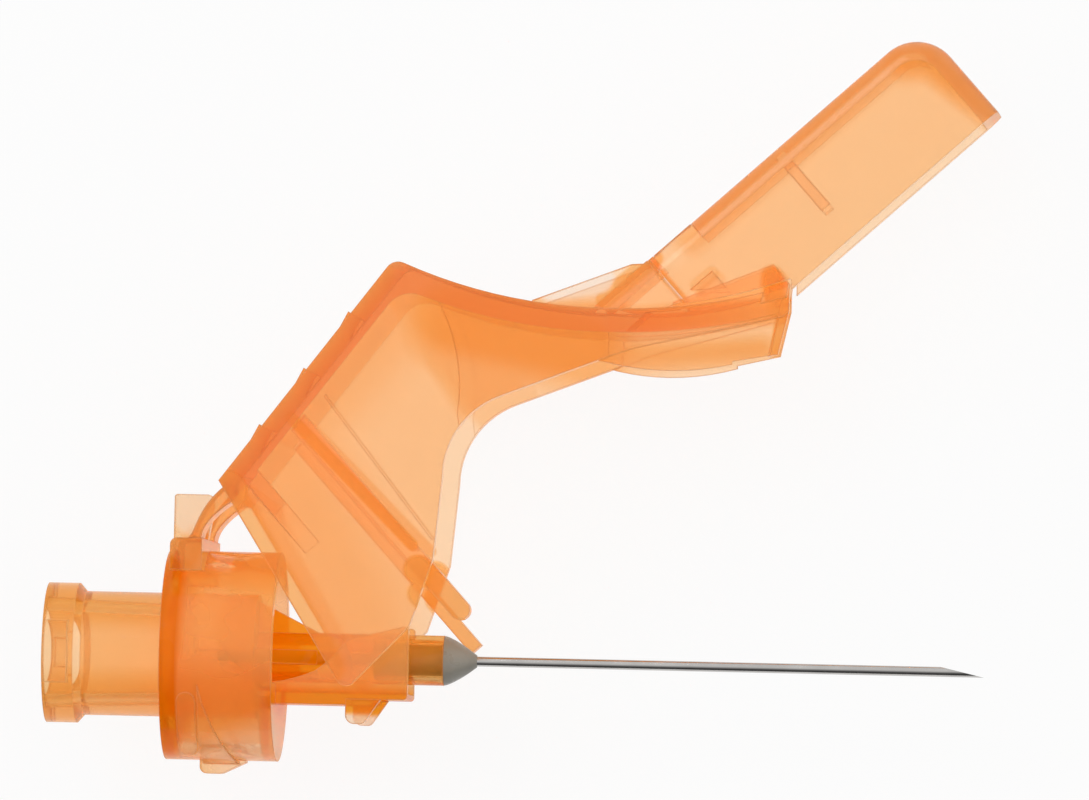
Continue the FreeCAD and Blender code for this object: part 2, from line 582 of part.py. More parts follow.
def channel(name, width, inset, lower, beak_half, corner=None):
    """What lies under the pad and the saddle, inset from their outside, narrowing along the beak. The corner
    between pad and saddle is rounded where a radius is given."""
    along = ("cos(pad_angle)", "sin(pad_angle)")
    start = (f"pad_rear_x + {inset} * sin(pad_angle)", f"pad_rear_y - {inset} * cos(pad_angle)")
    body = doc.addObject("PartDesign::Body", name)
    pad = body.newObject("PartDesign::Pad", name + "_pad")
    top = (f"{start[0]} + pad_length * {along[0]} * blank_rise", f"{start[1]} + pad_length * {along[1]} * blank_rise")
    pad.Profile = sketched(body, "XY_Plane", [top] + lower(start, along))
    pad.setExpression("Length", bound(width))
    pad.Midplane = True
    saddle = body.newObject("PartDesign::Pocket", name + "_saddle")
    sketch = body.newObject("Sketcher::SketchObject", name + "_saddle_circle")
    sketch.AttachmentSupport = (plane_of(body, "XY_Plane"), [""])
    sketch.MapMode = "FlatFace"
    centre = App.Vector(value("saddle_low_x"), value("saddle_low_y + saddle_radius"), 0)
    radius = value(f"saddle_radius + {inset}")
    sketch.addGeometry(Part.Circle(centre, App.Vector(0, 0, 1), radius), False)
    for kind, places, size, text in (
        ("Radius", (0,), radius, f"saddle_radius + {inset}"),
        ("DistanceX", (-1, 1, 0, 3), centre.x, "saddle_low_x"),
        ("DistanceY", (-1, 1, 0, 3), centre.y, "saddle_low_y + saddle_radius"),
    ):
        number = sketch.addConstraint(Sketcher.Constraint(kind, *places, size))
        sketch.setExpression(f"Constraints[{number}]", bound(text))
    saddle.Profile = sketch
    saddle.setExpression("Length", bound(f"({width}) * 2"))
    saddle.Midplane = True
    if corner:
        def crosses(edge):
            box = edge.BoundBox
            return box.XLength + box.YLength < SAME_PLACE and box.XMin < centre.x
        doc.recompute()
        highest = max(edge.BoundBox.YMin for edge in saddle.Shape.Edges if crosses(edge))
        rounded(body, saddle, lambda edge: crosses(edge) and edge.BoundBox.YMin > highest - SAME_PLACE, corner)
    for side in ("", "-"):
        narrow = body.newObject("PartDesign::Pocket", name + "_taper" + ("_far" if side else "_near"))
        narrow.Profile = sketched(body, "XZ_Plane", [
            ("taper_start_x", f"{side}(({width}) / 2)"),
            ("beak_front_x + beyond", f"{side}(({beak_half}) - (({width}) / 2 - ({beak_half}))"
                                      " / (beak_front_x - taper_start_x) * beyond)"),
            ("beak_front_x + beyond", f"{side}(({width}) / 2 + beyond)"),
            ("taper_start_x", f"{side}(({width}) / 2 + beyond)"),
        ])
        narrow.setExpression("Length", bound("saddle_radius * 4"))
        narrow.Midplane = True
    return body


def plates_edge(start, along):
    """The side plates' outline, from the rear end of the pad round to the top of the beak."""
    return [
        start, ("heel_x", "heel_y", "round", "heel_radius"), ("flank_low_x", "flank_low_y"),
        ("flank_mid_x", "flank_mid_y"), ("arch_start_x", "arch_start_y"),
        ("arch_end_x", "arch_end_y", "arc", "-arch_radius"),
        ("belly_x", "belly_y"), ("beak_front_x - beak_lip", "beak_crease_y"),
        ("beak_front_x", "beak_crease_y + beak_lip"), ("beak_front_x", "saddle_low_y + pad_length"),
    ]


def hollow_edge(start, along):
    """The hollow's outline, which runs out of the plates on every open side."""
    return [
        (f"{start[0]} - open_end * {along[0]}", f"{start[1]} - open_end * {along[1]}"),
        (f"{start[0]} - open_end * {along[0]}", "heel_y - beyond"),
        ("beak_front_x - beak_wall - beak_rake", "heel_y - beyond"),
        ("beak_front_x - beak_wall - beak_rake", "skirt_front_y"),
        ("beak_front_x - beak_wall", "beak_crease_y + beak_lip"),
        ("beak_front_x - beak_wall", "saddle_low_y + pad_length"),
    ]


def skirt_edge(start, along):
    """The skirt's outline under the beak. Its top lies inside the plates."""
    return [
        ("skirt_rear_x", "belly_y - sink"), ("skirt_rear_x", "skirt_rear_y"),
        ("skirt_low_x", "skirt_low_y", "arc", "skirt_radius"),
        ("skirt_low_x", "skirt_low_y + skirt_step"), ("beak_front_x - beak_rake", "skirt_front_y"),
        ("beak_front_x", "beak_crease_y + beak_lip"), ("beak_front_x", "saddle_low_y + pad_length"),
    ]


def latch_arms():
    """The two arms that catch the needle when the shield is closed, hung from the pad's web."""
    hinge = ("hinge_x", "hinge_y", "distal_angle - 90")
    near = padded("arm_near", [
        ("arm_root", "arm_near_inner"),
        ("arm_near_end", "arm_near_inner", "round", "arm_near_width / 2 - straight"),
        ("arm_near_end", "arm_near_inner + arm_near_width", "round", "arm_near_width / 2 - straight"),
        ("arm_root", "arm_near_inner + arm_near_width"),
    ], "arm_depth", offset="arm_offset", place=hinge)
    far = padded("arm_far", [
        ("arm_root", "arm_far_inner"), ("arm_far_end", "arm_far_inner"),
        ("arm_far_end", "arm_far_inner + arm_far_width"), ("arm_root", "arm_far_inner + arm_far_width"),
    ], "arm_depth", offset="-arm_offset - arm_depth", place=hinge)
    return [near, far]


def plate_ribs(inner_face):
    """A short rib that runs out towards its end, and a fine one, both inside the near plate."""
    hinge = ("hinge_x", "hinge_y", "distal_angle - 90")
    short = padded("short_rib", [
        ("rib_root", f"{inner_face} + sink"), ("rib_root", f"{inner_face} - rib_depth"),
        ("rib_end", f"{inner_face} - rib_end_depth"), ("rib_end", f"{inner_face} + sink"),
    ], "rib_width", role="XZ_Plane", offset="-rib_inner - rib_width", place=hinge)
    fine = padded("fine_rib", [
        ("crease_start", "crease_inner"), ("crease_start + crease_length", "crease_inner - crease_lean"),
        ("crease_start + crease_length", "crease_inner - crease_lean + crease_width"),
        ("crease_start", "crease_inner + crease_width"),
    ], "crease_depth + sink", offset=f"{inner_face} - crease_depth", place=hinge)
    return [short, fine]


def thumb_ridges():
    return [padded(f"thumb_ridge_{count + 1}", [
        (f"ridge_first + {count} * ridge_pitch - ridge_length", "-web_thickness / 2"),
        (f"ridge_first + {count} * ridge_pitch", "-web_thickness / 2"),
        (f"ridge_first + {count} * ridge_pitch", "ridge_height"),
        (f"ridge_first + {count} * ridge_pitch - ridge_length", "0"),
    ], "shield_width - ridge_margin * 2", place=("pad_rear_x", "pad_rear_y", "pad_angle")) for count in range(3)]


def ramp_and_ears():
    """The ramp that carries the distal segment's hinge, and the ears that stiffen it on both sides."""
    line = ("distal_x", "distal_y", "distal_angle")
    tongue_width = "distal_width - distal_wall * 2 - hinge_strip_gap * 2"
    ramp = padded("ramp", [
        ("ramp_root", "-ramp_thickness"), ("ear_front", "-ramp_thickness"), ("ear_front", "0"), ("ramp_root", "0"),
    ], "distal_width - ear_wall", place=line)
    tongue = padded("ramp_tongue", [
        ("ramp_root", "-ramp_thickness"), ("ramp_end", "-ramp_thickness"), ("ramp_end", "0"), ("ramp_root", "0"),
    ], tongue_width, place=line)
    ears = both_sides("ear", [
        ("ear_root", "ear_low"), ("ear_toe", "-ramp_thickness * 2"), ("ear_front", "-ear_front_depth"),
        ("ear_front", "-ramp_thickness / 4"), ("-ear_front", "ear_front"), ("ear_root + ear_front", "ear_high"),
    ], "distal_width / 2 - ear_wall", "ear_wall", place=line)
    return [ramp, tongue] + ears


def latch():
    """Fins and tabs on the saddle's front that hold the distal segment's end."""
    fins = both_sides("latch_fin", [
        ("latch_fin_x", "saddle_low_y + latch_sink"), ("beak_front_x - latch_sink", "saddle_low_y + latch_front_rise"),
        ("beak_front_x", "saddle_low_y + latch_nose_rise"),
        ("beak_front_x - latch_top_setback", "saddle_low_y + latch_top_rise"),
        ("latch_fin_x", "saddle_low_y + latch_fin_rise"),
    ], "slot_width / 2", "latch_fin_wall")
    tabs = both_sides("latch_tab", [
        ("beak_front_x - latch_tab_length", "saddle_low_y + latch_fin_rise"),
        ("beak_front_x - latch_sink", "saddle_low_y + latch_front_rise"),
        ("beak_front_x", "saddle_low_y + latch_nose_rise"),
        ("beak_front_x - latch_top_setback", "saddle_low_y + latch_top_rise"),
    ], "slot_width / 2", "latch_half_width - slot_width / 2")
    return fins + tabs


def thicker_zone(outside, inner_face):
    """The plates are thicker under the saddle, in front of a curve."""
    pads = both_sides("zone", [
        ("zone_top_x", "saddle_low_y + zone_overlap"),
        ("zone_low_x", "zone_low_y", "arc", "-zone_curve"),
        ("arch_start_x + arch_radius / 4", "arch_start_y"), ("taper_start_x", "arch_start_y"),
        ("taper_start_x", "saddle_low_y + zone_overlap"),
    ], f"{inner_face} - zone_depth", "zone_depth + sink")
    return shared("zone_in_plates", [outside, joined("zone_pads", pads)])


def proximal_segment():
    """Wide U channel: thumb pad, saddle and side plates, ending in the beak."""
    outside = channel("proximal_outside", "shield_width", "0", plates_edge, "beak_half_width",
                      corner="pad_corner_radius")
    skirt = channel("proximal_skirt", "shield_width - skirt_inset * 2", "0", skirt_edge,
                    "beak_half_width - skirt_inset / 2")
    hollow = channel("proximal_hollow", "shield_width - plate_wall * 2", "web_thickness", hollow_edge,
                     "beak_half_width - plate_wall / 2", corner="pad_inner_radius")
    shell = taken("proximal_shell", joined("proximal_solid", [outside, skirt]), hollow)
    inner_face = "(shield_width / 2 - plate_wall)"
    solid = joined("proximal_with_ribs", [shell, thicker_zone(outside, inner_face)] + latch_arms()
                   + plate_ribs(inner_face) + thumb_ridges() + ramp_and_ears() + latch())
    slot = padded("needle_slot", [
        ("ramp_root", "-slot_depth_start"), ("ramp_root", "-slot_depth_start - distal_depth * 2"),
        ("distal_depth * 3 / 2", "-slot_depth_start - distal_depth * 2"),
        ("distal_depth * 3 / 2", "-slot_depth_start"),
    ], "slot_width", place=("distal_x", "distal_y", "distal_angle"))
    return taken("proximal_segment", solid, slot)


def segment_hinge():
    """Thin planar hinge between the ramp and the distal web."""
    return padded("segment_hinge", [
        ("ramp_end", "-hinge_strip_thickness"), ("distal_web_start", "-hinge_strip_thickness"),
        ("distal_web_start", "0"), ("ramp_end", "0"),
    ], "distal_width - distal_wall * 2 - hinge_strip_gap * 2", place=("distal_x", "distal_y", "distal_angle"))


def saddle_room():
    """The space that the distal plates leave for the saddle: its outside with clearance."""
    block = box("saddle_block", ("distal_x - distal_depth", "saddle_low_y - distal_depth", "-shield_width / 2"),
                ("beak_front_x + seat_on_saddle", "distal_y + distal_depth", "shield_width / 2"))
    round_face = doc.addObject("Part::Cylinder", "saddle_face")
    round_face.setExpression("Radius", bound("saddle_radius - seat_on_saddle"))
    round_face.setExpression("Height", bound("shield_width * 2"))
    for path, text in (("x", "saddle_low_x"), ("y", "saddle_low_y + saddle_radius"), ("z", "-shield_width")):
        round_face.setExpression("Placement.Base." + path, bound(text))
    return taken("saddle_room", block, round_face)


def distal_segment():
    """Narrow U channel with an end wall, drawn along its own web and cut to clear the saddle."""
    line = ("distal_x", "distal_y", "distal_angle")
    start = "(ear_front + ear_gap)"
    outside = padded("distal_outside", [
        (start, "0"), (start, "-distal_depth"),
        ("distal_end", "-distal_depth"), ("distal_end", "0", "round", "distal_corner_radius"),
    ], "distal_width")
    half = value("distal_width / 2")

    def along_top(edge):
        middle = edge.CenterOfMass
        return abs(abs(middle.z) - half) < SAME_PLACE and abs(middle.y) < SAME_PLACE

    rounded(outside, outside.Tip, along_top, "distal_edge_radius")
    hollow = padded("distal_hollow", [
        (f"{start} - beyond", "beyond"), (f"{start} - beyond", "-distal_depth - beyond"),
        ("distal_end - distal_web", "-distal_depth - beyond"),
        ("distal_end - distal_web", "-distal_web", "round", "distal_corner_radius - distal_web"),
        ("distal_web_start", "-distal_web"), ("distal_web_start", "beyond"),
    ], "distal_width - distal_wall * 2")
    shell = taken("distal_shell", outside, hollow)
    hooks = both_sides("needle_hook", [
        ("hook_place - hook_length / 2", "-distal_web / 2"), ("hook_place - hook_length / 2", "-hook_reach"),
        ("hook_place + hook_length / 2", "-hook_reach"), ("hook_place + hook_length / 2", "-distal_web / 2"),
    ], "distal_width / 2 - distal_wall - hook_depth", "hook_depth + sink")
    wedges = both_sides("plate_wedge", [
        ("wedge_start", "-wedge_top"), ("wedge_start + wedge_length", "-wedge_top - wedge_drop"),
        ("wedge_start + wedge_length", "-wedge_top"),
    ], "distal_width / 2 - distal_wall - wedge_depth", "wedge_depth + sink")
    segment = joined("distal_in_place", [shell] + hooks + wedges)
    put(segment, *line)
    return taken("distal_segment", segment, saddle_room())


strap_near, strap_far = straps()
NODES = {
    "luer_hub": luer_hub(),
    "cannula": cannula(),
    "adhesive_bead": adhesive_bead(),
    "hub_collar": hub_collar(),
    "strap_near": strap_near,
    "strap_far": strap_far,
    "proximal_segment": proximal_segment(),
    "segment_hinge": segment_hinge(),
    "distal_segment": distal_segment(),
}
for name, item in NODES.items():
    item.Label = name
doc.recompute()

for item in doc.Objects:
    if {"Invalid", "Error"} & set(item.State):
        raise RuntimeError(f"{item.Name} failed: {item.State}")
for name, item in NODES.items():
    if item.Shape.isNull() or not item.Shape.isValid():
        raise RuntimeError(f"{name} has no valid shape")

os.makedirs("parts", exist_ok=True)
for name, item in NODES.items():
    item.Shape.exportStep(f"parts/{name}.step")
    bounds = item.Shape.BoundBox
    print(name, len(item.Shape.Solids), round(item.Shape.Volume, 3),
          [round(n, 2) for n in (bounds.XMin, bounds.XMax, bounds.YMin, bounds.YMax, bounds.ZMin, bounds.ZMax)])
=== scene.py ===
"""Looks of the safety hypodermic needle: finishes, living hinges, floor, light and camera. Lengths are in metres."""

import math

import bmesh
import bpy
from mathutils import Matrix, Vector


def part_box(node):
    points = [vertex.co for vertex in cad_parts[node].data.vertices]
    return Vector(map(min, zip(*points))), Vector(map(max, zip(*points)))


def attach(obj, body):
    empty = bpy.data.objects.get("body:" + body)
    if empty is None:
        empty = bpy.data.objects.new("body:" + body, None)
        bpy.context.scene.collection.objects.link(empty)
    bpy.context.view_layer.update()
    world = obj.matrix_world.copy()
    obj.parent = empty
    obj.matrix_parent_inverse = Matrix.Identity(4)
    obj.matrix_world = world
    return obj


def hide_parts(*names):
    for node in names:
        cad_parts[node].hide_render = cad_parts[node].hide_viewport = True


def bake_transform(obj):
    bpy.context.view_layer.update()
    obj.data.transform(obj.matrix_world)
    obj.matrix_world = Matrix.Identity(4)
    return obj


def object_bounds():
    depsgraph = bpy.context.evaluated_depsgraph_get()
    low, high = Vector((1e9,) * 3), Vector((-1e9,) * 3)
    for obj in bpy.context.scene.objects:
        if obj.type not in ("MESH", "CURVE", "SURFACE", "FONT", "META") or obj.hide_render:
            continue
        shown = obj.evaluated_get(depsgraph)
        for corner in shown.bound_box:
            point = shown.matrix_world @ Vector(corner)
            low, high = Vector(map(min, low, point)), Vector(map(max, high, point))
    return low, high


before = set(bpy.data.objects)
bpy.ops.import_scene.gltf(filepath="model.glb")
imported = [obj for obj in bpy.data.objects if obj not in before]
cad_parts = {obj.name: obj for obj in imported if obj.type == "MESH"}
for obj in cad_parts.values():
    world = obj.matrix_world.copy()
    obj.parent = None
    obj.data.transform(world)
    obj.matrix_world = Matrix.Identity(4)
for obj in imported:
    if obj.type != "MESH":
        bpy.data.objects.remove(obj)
cad_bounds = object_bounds()

MM = 0.001

# View: the photograph's frame, with its scale and tilt
IMAGE_WIDTH = 1089
PIXELS_PER_MM = 20.0
AIM = Vector((24.6, 13.15, 0.0)) * MM
TOWARDS_CAMERA = Vector((0.070, -0.039, 1.0)).normalized()
TILT = math.radians(1.2)
CAMERA_DISTANCE = 0.70
CAMERA_REACH = (0.01, 5.0)
SENSOR = 36.0

# Living hinges, in millimetres: the straps rise from the collar's ledge to the pad's end, front face and rear
# face, and the strip lies along the distal segment's web
STRAP_FRONT = [(7.97, 5.72), (7.97, 6.6), (9.55, 7.64)]
STRAP_REAR = [(7.24, 5.72), (7.72, 5.95), (7.62, 7.2), (9.1, 8.4)]
STRAP_STEPS = 17
STRIP_ORIGIN = Vector((29.49, 19.86, 0.0))
STRIP_ANGLE = math.radians(42.2)
STRIP_START, STRIP_END = 0.7, 3.2
STRIP_THICKNESS = 0.25
STRIP_GROOVE = 0.09

# Adhesive at the nose, in millimetres
BEAD_REAR, BEAD_START, BEAD_END = 16.42, 19.92, 21.54
BEAD_SHOULDER, BEAD_TIP, BEAD_PLUG, BEAD_BORE = 1.24, 0.30, 0.78, 0.26
BEAD_BULGE = 1.35
BEAD_STEPS, BEAD_SIDES = 13, 40

# Softened and sharp edges of the drawn pieces
EDGE_RADIUS = 0.05 * MM
EDGE_SEGMENTS = 2
LONG_EDGE_ANGLE = 1.0
SHARP_ANGLE = math.radians(40)

# Plastic: how strongly it bends light, the painted shade of a thin darker line along its edges, the painted
# milky paleness of its upright faces, how much the milky share varies and grows in dense zones, how far the density
# of its inside lies above what its strongest loss needs, and the colours of thin zones
PLASTIC_IOR = 1.3
EDGE_LINE = 0.09 * MM
EDGE_SAMPLES = 4
EDGE_BENT, EDGE_FLAT = 0.6, 0.96
EDGE_SHADE = 0.8
# Colour of the painted shade line along edges
EDGE_SHADE_COLOUR = (0.56, 0.29, 0.13)
# Painted paleness: the milky share given to upright faces by their direction
SIDE_PAINTED_HAZE = 0.55
UPRIGHT = 0.05
HAZE_SPREAD = 0.1
DENSE_HAZE = 0.12
DENSITY_MARGIN = 1.1
THIN_WALL = (0.985, 0.94, 0.88)
THIN_MILK = (0.96, 0.89, 0.78)

# Stage: the floor's half side, drop and glow, how bright the sky is by the Y of its direction, and the lamps'
# places, sizes and powers
FLOOR_HALF = 0.6
FLOOR_DROP = 0.1 * MM
FLOOR_TINT = (0.80, 0.80, 0.80)
FLOOR_GLOW = 0.9
SKY_LOW, SKY_HIGH = (-0.8, 0.08), (-0.1, 0.97)
SKY_STRENGTH = 0.95
LAMPS = (
    ("key", (-0.25, 0.35, 0.5), 0.3, 1.1),
    ("fill", (0.4, -0.3, 0.45), 0.4, 0.3),
)

# How many clear walls a ray passes
BOUNCES = 24
TRANSPARENT_BOUNCES = 32


def linear(colour):
    """Turns display values into the linear ones that shaders take."""
    return tuple(c / 12.92 if c <= 0.04045 else ((c + 0.055) / 1.055) ** 2.4 for c in colour)


class Shader:
    """A small helper that adds and joins shader nodes."""

    def __init__(self, name):
        self.material = bpy.data.materials.new(name)
        self.material.use_nodes = True
        self.tree = self.material.node_tree
        self.tree.nodes.clear()
        self.output = self.tree.nodes.new("ShaderNodeOutputMaterial")

    def node(self, kind, **settings):
        made = self.tree.nodes.new("ShaderNode" + kind)
        for key, setting in settings.items():
            setattr(made, key, setting)
        return made

    def join(self, source, target):
        self.tree.links.new(source, target)

    def noise(self, scale, detail=3.0):
        """A cloudy pattern that stays with the piece."""
        place = self.node("TexCoord")
        made = self.node("TexNoise")
        self.join(place.outputs["Object"], made.inputs["Vector"])
        made.inputs["Scale"].default_value = scale
        made.inputs["Detail"].default_value = detail
        return made.outputs["Fac"]

    def spread(self, source, low, high, start=0.3, end=0.7):
        """Maps a pattern from start..end to low..high."""
        made = self.node("MapRange")
        self.join(source, made.inputs["Value"])
        for socket, number in (("From Min", start), ("From Max", end), ("To Min", low), ("To Max", high)):
            made.inputs[socket].default_value = number
        return made.outputs["Result"]

    def feed(self, value, target):
        """Sets a socket to a number or a colour, or joins another socket to it."""
        if isinstance(value, bpy.types.NodeSocket):
            self.join(value, target)
        elif isinstance(value, tuple):
            target.default_value = (*value, 1) if target.type == "RGBA" else value
        else:
            target.default_value = value

    def work(self, kind, first, second):
        """A sum, product or the like of two numbers."""
        made = self.node("Math", operation=kind)
        self.feed(first, made.inputs[0])
        self.feed(second, made.inputs[1])
        return made.outputs[0]

    def vector(self, kind, first, second):
        """The same for places and directions."""
        made = self.node("VectorMath", operation=kind)
        self.feed(first, made.inputs[0])
        self.feed(second, made.inputs["Scale"] if kind == "SCALE" else made.inputs[1])
        return made.outputs["Value"] if kind in ("DISTANCE", "DOT_PRODUCT") else made.outputs["Vector"]

    def tone(self, share, first, second):
        """Mixes two colours."""
        made = self.node("MixRGB")
        for value, target in zip((share, first, second), made.inputs):
            self.feed(value, target)
        return made.outputs[0]

    def zone(self, start, end, reach, fade, strength):
        """A soft-edged stretch along a line in the XY plane, in millimetres: full within reach of the line, then
        fading to nothing."""
        start, end = Vector((*start, 0)) * MM, Vector((*end, 0)) * MM
        run = end - start
        place = self.vector("MULTIPLY", self.node("TexCoord").outputs["Object"], (1, 1, 0))
        place = self.vector("SUBTRACT", place, tuple(start))
        share = self.spread(self.vector("DOT_PRODUCT", place, tuple(run / run.dot(run))), 0.0, 1.0, 0.0, 1.0)
        along = self.vector("SCALE", tuple(run), share)
        away = self.vector("DISTANCE", place, along)
        return self.spread(away, strength, 0.0, reach * MM, (reach + fade) * MM)

    def zones(self, stretches):
        """The strongest of several zones at each spot."""
        most = 0.0
        for stretch in stretches:
            most = self.work("MAXIMUM", self.zone(*stretch), most)
        return most

    def blend(self, share, first, second):
        """Mixes two shaders."""
        made = self.node("MixShader")
        for value, target in zip((share, first, second), made.inputs):
            self.feed(value, target)
        return made.outputs[0]

    def matt(self, kind, colour):
        """A plain shader that takes only a colour."""
        made = self.node(kind)
        self.feed(colour, made.inputs["Color"])
        return made.outputs[0]

    def bump(self, height, distance, strength, over=None):
        """Unevenness from a pattern, over the plain normal or over another one."""
        made = self.node("Bump")
        self.join(height, made.inputs["Height"])
        made.inputs["Distance"].default_value = distance
        made.inputs["Strength"].default_value = strength
        if over:
            self.join(over, made.inputs["Normal"])
        return made.outputs["Normal"]


def clear_plastic(name, wall, depth, milk, haze, deep_wall, deep_milk, dense, thin=()):
    """Clear orange moulding. wall is what one wall lets through by its skin alone, and depth is what is lost
    for each millimetre inside, both as red, green and blue. milk is the colour of the milky share, haze. In the
    dense zones, wall and milk go over to deep_wall and deep_milk, and in the thin ones to nearly clear.
    Edges get a painted darker line of shade, and upright faces a painted milky paleness."""
    s = Shader(name)
    clear = s.zones(thin)
    deep = s.work("MULTIPLY", s.zones(dense), s.work("SUBTRACT", 1.0, clear))

    # Painted shade along edges: a thin darker line where the normal of a rounded edge leaves the face's own
    edge = s.node("Bevel", samples=EDGE_SAMPLES)
    edge.inputs["Radius"].default_value = EDGE_LINE
    straight = s.vector("DOT_PRODUCT", edge.outputs["Normal"], s.node("NewGeometry").outputs["Normal"])
    line = s.spread(s.work("MULTIPLY", straight, straight), EDGE_SHADE, 0.0, EDGE_BENT, EDGE_FLAT)

    # Clear part
    tint = s.tone(deep, s.tone(clear, wall, THIN_WALL), deep_wall)
    body = s.node("BsdfPrincipled")
    s.join(tint, body.inputs["Base Color"])
    body.inputs["Transmission Weight"].default_value = 1.0
    body.inputs["IOR"].default_value = PLASTIC_IOR
    s.join(s.spread(s.noise(300.0, 1.0), 0.06, 0.10), body.inputs["Roughness"])
    s.join(s.bump(s.noise(350.0, 2.0), 0.02 * MM, 0.12, over=edge.outputs["Normal"]), body.inputs["Normal"])

    # Milky part, and its share
    pale = s.tone(deep, s.tone(clear, milk, THIN_MILK), deep_milk)
    milky = s.blend(0.5, s.matt("BsdfTranslucent", pale), s.matt("BsdfDiffuse", pale))
    uneven = s.spread(s.noise(260.0, 2.0), haze * (1 - HAZE_SPREAD), haze * (1 + HAZE_SPREAD))
    share = s.work("ADD", uneven, s.work("MULTIPLY", deep, DENSE_HAZE))
    # Painted paleness: upright faces, by the direction of their normal, take a larger milky share
    side = s.node("SeparateXYZ")
    s.join(s.node("NewGeometry").outputs["Normal"], side.inputs[0])
    upright = s.work("MULTIPLY", side.outputs["Z"], side.outputs["Z"])
    share = s.work("MAXIMUM", share, s.spread(upright, SIDE_PAINTED_HAZE, 0.0, 0.0, UPRIGHT))

    # All together, with the painted edge shade laid over. Shadow rays pass, and the inside takes its toll by the
    # millimetre
    mixed = s.blend(line, s.blend(share, body.outputs[0], milky), s.matt("BsdfDiffuse", EDGE_SHADE_COLOUR))
    through = s.matt("BsdfTransparent", tuple(math.sqrt(w) for w in wall))
    ray = s.node("LightPath")
    s.join(s.blend(ray.outputs["Is Shadow Ray"], mixed, through), s.output.inputs["Surface"])
    inside = s.node("VolumeAbsorption")
    density = DENSITY_MARGIN * max(depth) / MM
    inside.inputs["Color"].default_value = (*(1 - lost / MM / density for lost in depth), 1)
    inside.inputs["Density"].default_value = density
    s.join(inside.outputs[0], s.output.inputs["Volume"])
    return s.material


def steel():
    """Drawn and polished tube, with finely uneven roughness and tone."""
    s = Shader("needle_steel")
    body = s.node("BsdfPrincipled")
    body.inputs["Metallic"].default_value = 1.0
    s.join(s.spread(s.noise(2500.0), 0.10, 0.18), body.inputs["Roughness"])
    s.join(s.tone(s.noise(600.0), linear((0.68, 0.67, 0.66)), linear((0.80, 0.79, 0.78))), body.inputs["Base Color"])
    s.join(body.outputs[0], s.output.inputs["Surface"])
    return s.material


def adhesive():
    """Grey cured adhesive, uneven and slightly glossy."""
    s = Shader("adhesive")
    body = s.node("BsdfPrincipled")
    shade = s.tone(s.noise(900.0, 5.0), linear((0.46, 0.445, 0.41)), linear((0.61, 0.595, 0.555)))
    s.join(shade, body.inputs["Base Color"])
    s.join(s.spread(s.noise(1500.0), 0.25, 0.45), body.inputs["Roughness"])
    s.join(s.bump(s.noise(700.0), 0.04 * MM, 0.5), body.inputs["Normal"])
    s.join(body.outputs[0], s.output.inputs["Surface"])
    return s.material


# Stretches of denser and thinner pigment, in millimetres: start, end, reach, fade and strength
SHIELD_DENSE = (
    ((20.0, 17.0), (26.8, 15.7), 1.2, 1.9, 1.0),    # under the saddle's web
    ((18.3, 18.8), (22.2, 13.3), 1.6, 0.5, 0.55),
    ((16.4, 17.4), (9.6, 9.0), 1.3, 2.0, 0.35),     # along the thumb pad
    ((16.6, 18.9), (9.1, 8.7), 0.75, 0.5, 0.8),
    ((12.4, 11.8), (18.6, 5.6), 0.26, 0.1, 1.0),    # along the broad rib
    ((9.8, 8.4), (14.0, 0.8), 3.0, 3.5, 0.42),      # along the plates' rear edge
    ((9.2, 8.0), (14.4, -0.6), 0.8, 0.6, 1.1),
    ((18.9, 4.4), (21.1, 2.3), 0.5, 0.3, 2.4),      # latch arms
    ((19.1, 3.2), (21.4, 0.8), 0.5, 0.3, 1.8),
    ((28.0, 16.95), (35.6, 17.8), 0.45, 0.4, 0.8),  # beak: web, crease, front edge and lower edge
    ((36.0, 19.4), (36.1, 17.9), 0.3, 0.4, 1.5),
    ((36.6, 18.2), (36.2, 15.6), 0.15, 0.3, 1.8),
    ((28.8, 15.3), (35.4, 15.9), 0.2, 0.8, 0.7),
    ((27.7, 18.1), (30.1, 20.2), 0.35, 0.2, 1.5),   # ramp and hinge between the segments
    ((30.2, 19.7), (31.5, 18.3), 0.1, 0.15, 1.0),   # rear end and lug of the distal plates
    ((32.3, 18.9), (33.0, 19.5), 0.3, 0.15, 0.5),
    ((31.6, 21.5), (41.2, 30.3), 0.35, 0.8, 0.9),   # along the distal web
    ((41.2, 30.3), (43.4, 30.4), 0.35, 0.8, 0.9),   # round its corner
    ((43.4, 30.4), (46.9, 27.8), 0.3, 0.8, 0.9),    # across its end
    ((7.6, 5.7), (9.3, 8.1), 0.9, 0.3, 2.0),        # straps
)
SHIELD_THIN = (
    ((25.0, 18.7), (27.4, 19.1), 0.6, 0.3, 0.9),    # ears
    ((30.5, 20.7), (31.5, 21.6), 0.6, 0.5, 0.25),   # open stretch before the distal web
)
COLLAR_DENSE = (
    ((6.35, 0.2), (6.35, -4.4), 0.45, 0.4, 1.0),    # rear rim
    ((6.5, 4.3), (6.4, 0.0), 0.4, 0.5, 0.95),
    ((7.6, 4.4), (11.2, 4.4), 0.5, 1.0, 0.3),       # high side
    ((7.4, -2.1), (11.2, -2.1), 0.7, 1.8, 0.5),     # low side
    ((12.0, -2.2), (17.9, -2.2), 0.4, 0.8, 0.95),   # cradle
    ((7.3, 4.9), (7.5, 5.6), 0.5, 0.6, 0.55),       # ledge under the straps
)
COLLAR_THIN = (
    ((7.3, 7.2), (7.3, 8.2), 1.1, 0.3, 0.5),        # rear fin
    ((15.2, -3.4), (16.4, -3.4), 0.5, 0.2, 0.8),    # nub
    ((9.5, -5.2), (11.3, -4.2), 0.5, 1.2, 0.4),     # front lower corner
)
HUB_DENSE = (
    ((0.0, -2.9), (6.0, -2.9), 0.5, 1.8, 0.45),     # low side of the socket
    ((0.0, 3.1), (6.0, 3.1), 0.6, 1.2, 0.6),
    ((10.8, 1.2), (13.4, -0.4), 1.5, 0.9, 2.6),     # cone and fins
    ((14.0, 0.0), (19.6, 0.0), 1.4, 0.3, 0.6),      # nose
)

